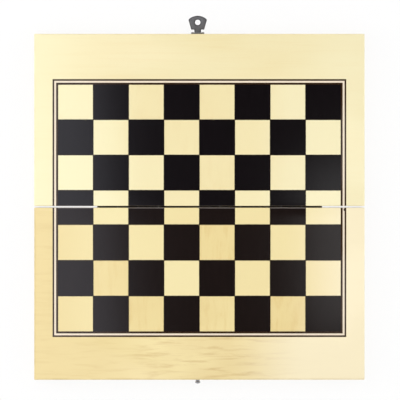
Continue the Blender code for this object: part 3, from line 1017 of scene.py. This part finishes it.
def tray_opening(tray):
    """The free floor of a tray: half its width, and its reach from the hinge."""
    hinge_rail = [abs(corner.y) for corner in tray.own_box("hinge_rail")]
    front_rail = [abs(corner.y) for corner in tray.own_box("front_rail")]
    return tray.own_box("right_rail")[0].x, max(hinge_rail), min(front_rail)


def point_template(length, width, tip, thickness):
    """A long pointed shape lying under its base line, as painted on a backgammon board."""
    half = width / 2
    outline = [(0, -half), (length - tip, -tip / 2)]
    outline += arc((length - tip, 0), tip / 2, -math.pi / 2, math.pi / 2, 6)[1:]
    outline += [(0, half)]
    return linked("point", to_mesh("point", prism([(x, y, 0) for x, y in outline],
                                                  (0, 0, -thickness))))


def points_tree():
    """Geometry nodes that lay two facing rows of points, their colours by turns."""
    graph, given = node_group(
        "Lay points", "GeometryNodeTree",
        {"Geometry": ("Geometry",), "Points in a row": ("Int", 6), "Half length": ("Float", 0.1),
         "Start": ("Float", 0.0), "Pitch": ("Float", 0.02), "Side": ("Float", 1.0),
         "Level": ("Float", 0.0), "Point": ("Object",), "Light": ("Material",),
         "Dark": ("Material",)},
        {"Geometry": "Geometry"})
    index = graph.value("GeometryNodeInputIndex")
    row = math.floor(index / given["Points in a row"])
    number = index % given["Points in a row"]
    x = (row * 2.0 - 1.0) * given["Half length"]
    y = (given["Start"] + (number + 0.5) * given["Pitch"]) * given["Side"]
    points = graph.points(given["Points in a row"] * 2.0, x, y, given["Level"])
    points = graph.store(points, "is_dark", (row + number) % 2.0)
    laid = graph.laid(points, given["Point"], Rotation=graph.vector(z=row * math.pi))
    graph.put_out(laid, given["Light"], given["Dark"])
    return graph.tree


class GAMESCASE_OT_points(Operator):
    """Lay the stained backgammon points on the inside of both trays"""

    bl_idname = "games_case.add_points"
    bl_label = "Add points"

    def execute(self, context):
        look = context.scene.games_case_wood
        tree = points_tree()
        light, dark = [
            wood_material(name, stain, scaled(stain, 0.7), streaks=0.6, fibres=0.4)
            for name, stain in (("light_point_stain", look.light_point),
                                ("dark_point_stain", look.dark_point))]
        for tray in TRAYS:
            half, start, stop = tray_opening(tray)
            pitch = (stop - start) / look.points_in_row
            point = point_template(2 * half * look.point_share, pitch - look.point_gap,
                                   look.point_tip, look.point_thickness)
            mesh = run_nodes("points", tree, {
                "Points in a row": look.points_in_row, "Half length": half, "Start": start,
                "Pitch": pitch, "Side": float(tray.side), "Level": tray.panel()[0].z,
                "Point": point, "Light": light, "Dark": dark})
            discard(point)
            board_piece(tray, "points", mesh, smooth=None)
        return {"FINISHED"}


# Hinge, hasp and stud

def curl(radius, sheet, start, end, low, high):
    """Sheet rolled round a pin along X, from one angle to another in the YZ plane."""
    steps = max(8, round(abs(end - start) / CURL_STEP))
    section = arc((0, 0), radius, start, end, steps)
    section += reversed(arc((0, 0), radius - sheet, start, end, steps))
    return to_mesh("curl", prism([(low, y, z) for y, z in section], (high - low, 0, 0)))


def stamped(outline, look):
    """Sheet in the XY plane with a pressed border round its field, under its pin."""
    shape = prism([(x, y, 0) for x, y in outline], (0, 0, look.hasp_sheet - look.lift))
    shape.faces.ensure_lookup_table()
    top = max(shape.faces, key=lambda face: face.calc_center_median().z)
    bmesh.ops.inset_region(shape, faces=[top], thickness=look.border, depth=look.lift,
                           use_even_offset=True)
    mesh = to_mesh("stamped", shape)
    mesh.transform(Matrix.Translation((0, 0, -look.hasp_barrel)))
    return mesh


def rolled(mesh, look, low, high):
    """A stamped sheet with a knuckle rolled round its pin, from low to high along X."""
    knuckle = curl(look.hasp_barrel, look.hasp_sheet, math.radians(-80), math.radians(-340),
                   low, high)
    return combined(mesh, knuckle, "UNION")


def mirrored_outline(right, end=()):
    """An outline whose left half mirrors its right half."""
    return [*right, *end, *[(-x, y) for x, y in reversed(right)]]


def tab_outline(look, half_fan, reach):
    """The tab in plan: neck, shoulders, spreading sides with eased corners, an arched end."""
    rise = reach - look.fan_reach
    arch = (half_fan ** 2 + rise ** 2) / (2 * rise)
    spread = math.asin((half_fan - look.corner) / arch)
    steps = 16
    end = [(arch * math.sin(angle), reach - arch + arch * math.cos(angle))
           for angle in [spread - 2 * spread * step / steps for step in range(steps + 1)]]
    tip = Vector((half_fan, look.fan_reach))
    side = Vector((look.shoulder_width / 2 - half_fan, look.shoulder_reach - look.fan_reach))
    side = tip + look.corner * side.normalized()
    corner = [side.lerp(tip, share).lerp(tip.lerp(Vector(end[0]), share), share)
              for share in (0, 0.25, 0.5, 0.75)]
    right = [(look.neck_width / 2, 0), (look.neck_width / 2, look.shoulder_reach),
             (look.shoulder_width / 2, look.shoulder_reach), *[tuple(point) for point in corner]]
    return mirrored_outline(right, end)


def dished_hole(radius, sheet, ring, dish):
    """Profile of a cutter for a round hole with a dished ring, its Z axis out of the sheet."""
    return [(0, -2 * sheet), (radius, -2 * sheet), (radius, -dish), (radius + ring, 0),
            (radius + ring, sheet), (0, sheet)]


class GAMESCASE_OT_hasp(Operator):
    """Add the stamped hasp tab, its plate, and the catch stud"""

    bl_idname = "games_case.add_hasp"
    bl_label = "Add hasp"

    def execute(self, context):
        look = context.scene.games_case_hardware
        metals = context.scene.games_case_metal
        self.add_tab(look, metals)
        self.add_plate(look, metals)
        self.add_stud(look, metals)
        return {"FINISHED"}

    def add_tab(self, look, metals):
        """The fan-shaped tab, which swings on its knuckle."""
        barrel, sheet = look.hasp_barrel, look.hasp_sheet
        pin = joint_place("hasp_swing")
        low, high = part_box("hasp_tab")
        mesh = stamped(tab_outline(look, (high[0] - low[0]) / 2, high[1] - pin.y), look)
        mesh = rolled(mesh, look, -look.neck_width / 2, look.neck_width / 2)
        hole = lathe(dished_hole(look.hole_radius, sheet, look.border, 2 * look.lift),
                     Matrix.Translation((0, look.hole_reach, sheet - barrel)))
        mesh = combined(mesh, hole, "DIFFERENCE")
        field = pin.z - barrel + sheet
        # The tab's pressed border and dished ring get painted shade.
        metal = metal_material("gunmetal_hasp_tab", metals.gunmetal, 0.55, 0.38, 0.35, 0.7,
                               ("Z", field - look.lift, field))
        finished("hasp_tab_stamped", mesh, "hasp", "gunmetal", Matrix.Translation(pin), metal,
                 ["hasp_tab"])

    def add_plate(self, look, metals):
        """The fixed plate, which stands up from its two knuckles against the rail."""
        barrel, sheet = look.hasp_barrel, look.hasp_sheet
        low, high = far.box("hasp_plate")
        middle = (low.x + high.x) / 2
        half = (high.x - low.x) / 2
        notch = look.neck_width / 2 + look.knuckle_gap
        top = high.z - low.z - barrel
        ease = 2 * look.border
        right = [(notch, barrel + look.knuckle_gap), (notch, 0), (half, 0)]
        right += arc((half - ease, top - ease), ease, 0, math.pi / 2, 6)
        mesh = stamped(mirrored_outline(right), look)
        for start, end in ((-half, -notch), (notch, half)):
            mesh = rolled(mesh, look, start, end)
        for name in ("hasp_nail_left", "hasp_nail_right"):
            nail = [(first + last) / 2 for first, last in zip(*far.box(name))]
            hole = lathe(dished_hole(look.nail_hole, sheet, look.lift, look.lift),
                         Matrix.Translation((nail[0] - middle, nail[2] - low.z - barrel,
                                             sheet - barrel)), FEW_STEPS)
            mesh = combined(mesh, hole, "DIFFERENCE")
        upright = Matrix(((1, 0, 0, middle), (0, 0, 1, low.y + barrel), (0, 1, 0, low.z + barrel),
                          (0, 0, 0, 1)))
        mesh.transform(upright)
        mesh.flip_normals()
        face = (far.placing @ Vector((0, low.y + sheet, 0))).y
        # The plate's pressed border and nail dishes get painted shade.
        metal = metal_material("gunmetal_hasp_plate", metals.plate, 0.55, 0.38, 0.35, 0.7,
                               ("Y", face - 3 * look.lift, face))
        finished("hasp_plate_stamped", mesh, far.body, "gunmetal", far.placing, metal,
                 ["hasp_plate"])

    def add_stud(self, look, metals):
        """The turned stud that the tab snaps over."""
        low, high = near.box("catch_stud")
        seat = -near.panel()[1].y
        length = seat - low.y
        shank = look.stud_neck / 2
        straight = length - look.stud_round
        dome = [(look.stud_radius * math.cos(angle), straight + look.stud_round * math.sin(angle))
                for angle in [math.pi / 2 * step / 8 for step in range(8)]]
        profile = [(0, seat - high.y), (shank, seat - high.y), (shank, 2 * look.lift),
                   (look.stud_neck, 2 * look.lift), (look.stud_neck, 0.45 * length),
                   (look.stud_radius, 0.55 * length), *dome, (0, length)]
        place = ((low.x + high.x) / 2, seat, (low.z + high.z) / 2)
        finished("catch_stud_turned", lathe(profile, facing((0, -1, 0), place)), near.body,
                 "stud_steel", near.placing,
                 metal_material("polished_stud", metals.stud, 0.2, 0.05, 0.15), ["catch_stud"],
                 math.radians(30))


def row_tree():
    """Geometry nodes that repeat one part in a row along X."""
    graph, given = node_group(
        "Row along X", "GeometryNodeTree",
        {"Geometry": ("Geometry",), "Count": ("Int", 5), "Start": ("Float", 0.0),
         "Pitch": ("Float", 0.01), "Part": ("Object",), "Metal": ("Material",)},
        {"Geometry": "Geometry"})
    line = graph.value("GeometryNodeMeshLine",
                       {"Count": given["Count"], "Start Location": graph.vector(given["Start"]),
                        "Offset": graph.vector(given["Pitch"])}, "Mesh")
    both = graph.add("GeometryNodeJoinGeometry", {"Geometry": given["Geometry"]})
    graph.link(graph.laid(line, given["Part"]), both.inputs["Geometry"])
    graph.put_out(both.outputs["Geometry"], given["Metal"])
    return graph.tree


class GAMESCASE_OT_hinge(Operator):
    """Add the two hinge leaves with their rolled knuckles and sunk nail holes"""

    bl_idname = "games_case.add_hinge"
    bl_label = "Add hinge"

    def execute(self, context):
        look = context.scene.games_case_hardware
        metals = context.scene.games_case_metal
        metal = metal_material("dull_hinge_strip", metals.strip, 0.5, 0.42, 0.5)
        tree = row_tree()
        start, end = [corner[0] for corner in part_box("hinge_pin")]
        pitch = (end - start) / look.hinge_knuckles
        for tray, first in ((near, 0), (far, 1)):
            rim = tray.own_box("front_rail")[0].z
            knuckle = linked("knuckle", self.knuckle(look, rim, pitch))
            mesh = run_nodes("leaf", tree, {
                "Count": len(range(first, look.hinge_knuckles, 2)),
                "Start": start + pitch * (first + 0.5), "Pitch": 2 * pitch, "Part": knuckle,
                "Metal": metal}, self.leaf(look, tray, rim, start, end - start))
            discard(knuckle)
            if tray.side < 0:
                mesh.transform(Matrix.Diagonal((1, -1, 1, 1)))
                mesh.flip_normals()
            finished(tray.name + "_hinge_strip", mesh, tray.body, "hinge_steel", tray.placing,
                     replaced=[tray.name + "_hinge_leaf"])
        return {"FINISHED"}

    def leaf(self, look, tray, rim, start, length):
        """The flat of a leaf in its rim, with countersunk nail holes."""
        sheet = look.hinge_sheet
        nails = [tray.own_box(f"hinge_nail_{number}") for number in range(1, 6)]
        reach = max(abs(corner.y) for corner in tray.own_box("hinge_leaf"))
        notch = look.hinge_barrel + look.knuckle_gap
        shape = eased_box(Vector((start, notch, rim)),
                          Vector((start + length, reach, rim + sheet)), sheet / 8)
        for place in range(1, len(nails)):
            bmesh.ops.bisect_plane(
                shape, geom=shape.verts[:] + shape.edges[:] + shape.faces[:],
                plane_co=(start + length * place / len(nails), 0, 0), plane_no=(1, 0, 0))
        mesh = to_mesh("leaf", shape)
        for low, high in nails:
            middle = (low + high) / 2
            radius = (high.x - low.x) / 2
            sink = lathe([(0, -2 * sheet), (radius / 2, -2 * sheet), (radius / 2, -sheet),
                          (1.15 * radius, 0), (1.15 * radius, sheet), (0, sheet)],
                         facing((0, 0, -1), (middle.x, abs(middle.y), rim)), FEW_STEPS)
            mesh = combined(mesh, sink, "DIFFERENCE")
        return mesh

    def knuckle(self, look, rim, pitch):
        """One rolled knuckle, with the tongue that joins it to its leaf."""
        barrel, sheet = look.hinge_barrel, look.hinge_sheet
        half = (pitch - look.knuckle_gap) / 2
        roll = curl(barrel, sheet, math.asin((rim + sheet) / barrel), math.radians(345), -half,
                    half)
        tongue = eased_box(Vector((-half, barrel - sheet / 2, rim)),
                           Vector((half, barrel + look.knuckle_gap + sheet, rim + sheet)),
                           sheet / 8)
        return combined(roll, to_mesh("tongue", tongue), "UNION")


# Finishes of the CAD nodes whose shapes are kept

class GAMESCASE_OT_rails(Operator):
    """Give the rails their wood, with the grain along each rail"""

    bl_idname = "games_case.finish_rails"
    bl_label = "Finish rails"

    def execute(self, context):
        look = context.scene.games_case_wood
        turns = {"hinge_rail": 0, "front_rail": 0, "left_rail": QUARTER_TURN,
                 "right_rail": QUARTER_TURN}
        for tray in TRAYS:
            for number, (kind, turn) in enumerate(turns.items()):
                name = f"{tray.name}_{kind}"
                own_figure = (0.31 * number, 0.17 * tray.side, 0)
                material = wood_material(
                    name + "_wood", look.rail_pale, look.rail_tan, turn, own_figure, coat=0.5,
                    haze=0.3, clouds=0.5, streaks=0.55, fibres=0.3, pores=0.4)
                give_material(frame["nodes"][name].data, material)
        return {"FINISHED"}


class GAMESCASE_OT_metalwork(Operator):
    """Give the nails, brads and pins their metals"""

    bl_idname = "games_case.finish_metalwork"
    bl_label = "Finish metalwork"

    def execute(self, context):
        look = context.scene.games_case_metal
        wire = metal_material("bright_wire", look.wire, 0.5, 0.32, 0.4)
        strip = metal_material("dull_nail_steel", look.strip, 0.5, 0.36, 0.5)
        gunmetal = metal_material("gunmetal_nails", look.plate, 0.35, 0.38, 0.35)
        metals = {"brad": wire, "hinge_pin": wire, "hasp_pin": wire, "hinge_nail": strip,
                  "hasp_nail": gunmetal}
        for name, node in frame["nodes"].items():
            for kind, metal in metals.items():
                if kind in name:
                    give_material(node.data, metal)
        return {"FINISHED"}


# Stage

def ray_kinds(graph):
    """Whether a ray comes straight from the camera, and whether it was mirrored or bent."""
    rays = graph.add("ShaderNodeLightPath").outputs
    mirrored = graph.math("ADD", rays["Is Glossy Ray"], rays["Is Transmission Ray"], clamp=True)
    return Value(graph, rays["Is Camera Ray"]), mirrored


def stage_floor(look):
    """A floor like a light table: white to the camera, with a little of the case's shadow.

    What a pose swings below the floor, and the case seen from below, show through it.
    """
    mesh = bpy.data.meshes.new("floor")
    half = look.floor_reach
    mesh.from_pydata([(-half, -half, 0), (half, -half, 0), (half, half, 0), (-half, half, 0)], [],
                     [(0, 1, 2, 3)])
    floor = linked("floor", mesh)
    material = bpy.data.materials.new("white_floor")
    material.use_nodes = True
    graph = Graph(material.node_tree)
    graph.tree.nodes.clear()
    from_camera, mirrored = ray_kinds(graph)
    back = graph.value("ShaderNodeNewGeometry", output="Backfacing")
    body = from_camera * look.floor_shade + (1.0 - from_camera) * look.floor_body
    paper = graph.value("ShaderNodeBsdfDiffuse", {"Color": (1, 1, 1)})
    clear = graph.value("ShaderNodeBsdfTransparent")
    white = graph.value("ShaderNodeEmission", {"Color": (1, 1, 1), "Strength": 1.0})
    plain = graph.value("ShaderNodeMixShader", {0: (1.0 - back) * body, 1: clear, 2: paper})
    chosen = graph.value("ShaderNodeMixShader", {0: mirrored, 1: plain, 2: white})
    graph.add("ShaderNodeOutputMaterial", {"Surface": chosen})
    mesh.materials.append(material)


def stage_sky(look):
    """White surroundings, with the darker opening overhead through which the camera looks."""
    world = bpy.context.scene.world or bpy.data.worlds.new("studio")
    bpy.context.scene.world = world
    world.use_nodes = True
    graph = Graph(world.node_tree)
    graph.tree.nodes.clear()
    from_camera, mirrored = ray_kinds(graph)
    way = graph.value("ShaderNodeTexCoord", output="Generated")
    apart = graph.value("ShaderNodeVectorMath", {0: way, 1: (0, 0, 1)}, "Value",
                        operation="DISTANCE")
    level = graph.math("ADD", look.sky, mirrored * (1.0 - look.sky))
    level = graph.ramp(apart, look.sky_opening, look.sky_full) * level
    lit = graph.value("ShaderNodeBackground", {"Color": (1, 1, 1), "Strength": level})
    plain = graph.value("ShaderNodeBackground", {"Color": (1, 1, 1), "Strength": 1.0})
    both = graph.value("ShaderNodeMixShader", {0: from_camera, 1: lit, 2: plain})
    graph.add("ShaderNodeOutputWorld", {"Surface": both})


def stage_lamp(name, glow, size, middle, aim, turn=0.0, tint=(1, 1, 1)):
    """A soft rectangular lamp of a given brightness, seen in the lacquer as a pale haze."""
    lamp = bpy.data.lights.new(name, "AREA")
    lamp.shape = "RECTANGLE"
    lamp.size, lamp.size_y = size
    lamp.energy = glow * math.pi * size[0] * size[1]
    lamp.color = tint
    holder = bpy.data.objects.new(name, lamp)
    aimed = (Vector(aim) - Vector(middle)).to_track_quat("-Z", "Y").to_matrix().to_4x4()
    holder.matrix_world = Matrix.Translation(middle) @ aimed @ Matrix.Rotation(turn, 4, "Z")
    bpy.context.collection.objects.link(holder)


def stage_lamps(look):
    """Two panels overhead, left and right of the camera's view, and two lamps at the sides."""
    left_size, left_y, left_turn = (0.5, 1.1), -0.02, math.radians(4)
    x = -look.left_reach - left_size[0] / 2
    stage_lamp("left_panel", look.left_glow, left_size, (x, left_y, look.panel_height),
               (x, left_y, 0), left_turn, look.left_tint)
    right_size, right_y = (0.4, 0.22), -0.05
    x = look.right_reach + right_size[0] / 2
    stage_lamp("right_panel", look.right_glow, right_size, (x, right_y, look.panel_height),
               (x, right_y, 0))
    side_size, side_x, side_y, side_height = (0.35, 0.5), 0.75, 0.05, 0.6
    for name, side, share in (("left_lamp", -1, 1.0), ("right_lamp", 1, look.right_side_share)):
        stage_lamp(name, look.side_glow * share, side_size,
                   (side * side_x, side_y, side_height), (0, 0, 0))


def stage_camera(look):
    """Straight above the boards, framed as in the photograph."""
    low, high = near.panel()
    face = (near.placing @ Vector((0, 0, high.z))).z
    front = near.placing @ Vector((0, -high.y, high.z))
    back = far.placing @ Vector((0, far.panel()[1].y, high.z))
    pixel = (high.x - low.x) / look.case_width_px
    camera = bpy.data.cameras.new("camera")
    camera.lens = camera.sensor_width * look.camera_height / (IMAGE_WIDTH_PX * pixel)
    holder = bpy.data.objects.new("camera", camera)
    holder.location = (-look.middle_right_px * pixel,
                       (front.y + back.y) / 2 + look.middle_down_px * pixel,
                       face + look.camera_height)
    bpy.context.collection.objects.link(holder)
    bpy.context.scene.camera = holder


class GAMESCASE_OT_stage(Operator):
    """Set up the white floor, the soft light and the camera above the case"""

    bl_idname = "games_case.set_stage"
    bl_label = "Set stage"

    def execute(self, context):
        look = context.scene.games_case_stage
        context.scene.view_settings.view_transform = "Standard"
        stage_floor(look)
        stage_sky(look)
        stage_lamps(look)
        stage_camera(look)
        return {"FINISHED"}


class GAMESCASE_PT_panel(Panel):
    """The steps that dress the case, in order, and their sizes and colours"""

    bl_label = "Games Case"
    bl_space_type = "VIEW_3D"
    bl_region_type = "UI"
    bl_category = "Games Case"

    def draw(self, context):
        for step in STEPS:
            self.layout.operator(step.bl_idname)
        for name, group in LOOKS.items():
            box = self.layout.box()
            for label in group.__annotations__:
                box.prop(getattr(context.scene, name), label)


STEPS = (GAMESCASE_OT_panels, GAMESCASE_OT_squares, GAMESCASE_OT_border, GAMESCASE_OT_points,
         GAMESCASE_OT_hasp, GAMESCASE_OT_hinge, GAMESCASE_OT_rails, GAMESCASE_OT_metalwork,
         GAMESCASE_OT_stage)


def register():
    for item in (*LOOKS.values(), *STEPS, GAMESCASE_PT_panel):
        bpy.utils.register_class(item)
    for name, group in LOOKS.items():
        setattr(bpy.types.Scene, name, PointerProperty(type=group))


def unregister():
    for name in LOOKS:
        delattr(bpy.types.Scene, name)
    for item in reversed((*LOOKS.values(), *STEPS, GAMESCASE_PT_panel)):
        bpy.utils.unregister_class(item)


def main():
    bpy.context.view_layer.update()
    register()
    for step in STEPS:
        space, name = step.bl_idname.split(".")
        getattr(getattr(bpy.ops, space), name)()


if __name__ == "__main__":
    main()
